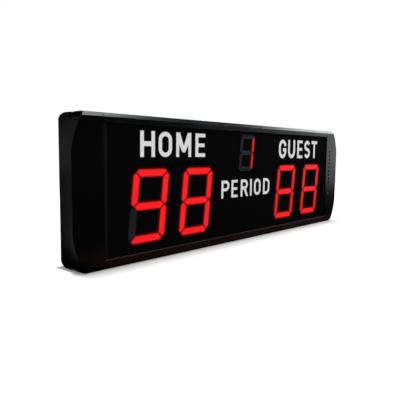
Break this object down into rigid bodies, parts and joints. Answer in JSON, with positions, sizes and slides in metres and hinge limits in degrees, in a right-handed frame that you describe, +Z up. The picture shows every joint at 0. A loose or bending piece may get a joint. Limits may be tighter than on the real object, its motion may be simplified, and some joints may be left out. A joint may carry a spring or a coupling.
{
  "type": "electronic_scoreboard",
  "caption": "Tabletop electronic scoreboard with red seven-segment home, guest and period digits in a black aluminium and plastic case",
  "frame": {"origin": "Bottom centre of the board: the point of the surface it stands on that lies under the middle of its length and depth.", "axes": "+X runs to the right seen from the front, +Y from the front to the back, +Z up. The digits face -Y."},
  "size_m": [0.52, 0.043, 0.15],
  "materials": {
    "anodised_rail": "black anodised, satin",
    "moulded_black": "fine moulded grain",
    "panel_black": "semi-gloss",
    "painted_sheet": "powder coated",
    "module_black": "matte",
    "light_bar": "diffusing, lit red",
    "reflector_white": "matte white",
    "circuit_board": "solder mask",
    "brass": "turned",
    "nickel": "nickel plated",
    "zinc_steel": "zinc plated",
    "ribbon_grey": "soft",
    "lead_red": "soft",
    "lead_black": "soft",
    "smoked_window": "smoked, polished"
  },
  "bodies": {
    "scoreboard": {"top_rail": "anodised_rail", "bottom_rail": "anodised_rail", "left_end_cap": "moulded_black", "right_end_cap": "moulded_black", "front_panel": "panel_black", "back_panel": "painted_sheet", "power_tray": "moulded_black", "display_board": "circuit_board", "control_board": "circuit_board", "ribbon_cable": "ribbon_grey", "buzzer": "moulded_black", "receiver_window": "smoked_window", "receiver_board": "circuit_board", "power_inlet": "nickel", "power_inlet_nut": "nickel", "switch_frame": "moulded_black", "inlet_lead": "lead_red", "switch_lead": "lead_red", "buzzer_lead": "lead_black", "receiver_lead": "lead_black", "board_standoff_1": "brass", "board_standoff_2": "brass", "board_standoff_3": "brass", "board_standoff_4": "brass", "home_tens_housing": "module_black", "home_tens_diffuser": "light_bar", "home_tens_reflector": "reflector_white", "home_tens_led_board": "circuit_board", "home_ones_housing": "module_black", "home_ones_diffuser": "light_bar", "home_ones_reflector": "reflector_white", "home_ones_led_board": "circuit_board", "period_housing": "module_black", "period_diffuser": "light_bar", "period_reflector": "reflector_white", "period_led_board": "circuit_board", "guest_tens_housing": "module_black", "guest_tens_diffuser": "light_bar", "guest_tens_reflector": "reflector_white", "guest_tens_led_board": "circuit_board", "guest_ones_housing": "module_black", "guest_ones_diffuser": "light_bar", "guest_ones_reflector": "reflector_white", "guest_ones_led_board": "circuit_board"},
    "power_rocker": {"power_rocker": "moulded_black"},
    "hanger_nut_left": {"hanger_nut_left": "zinc_steel"},
    "hanger_nut_right": {"hanger_nut_right": "zinc_steel"}
  },
  "joints": [
    {"name": "power_rocker_tip", "type": "hinge", "parent": "scoreboard", "child": "power_rocker", "pos_m": [0.123, 0.0127, 0.04], "axis": [1, 0, 0], "range_deg": [0, 18]},
    {"name": "hanger_nut_left_slide", "type": "slide", "parent": "scoreboard", "child": "hanger_nut_left", "axis": [1, 0, 0], "range_m": [-0.065, 0.14]},
    {"name": "hanger_nut_right_slide", "type": "slide", "parent": "scoreboard", "child": "hanger_nut_right", "axis": [1, 0, 0], "range_m": [-0.14, 0.065]}
  ]
}
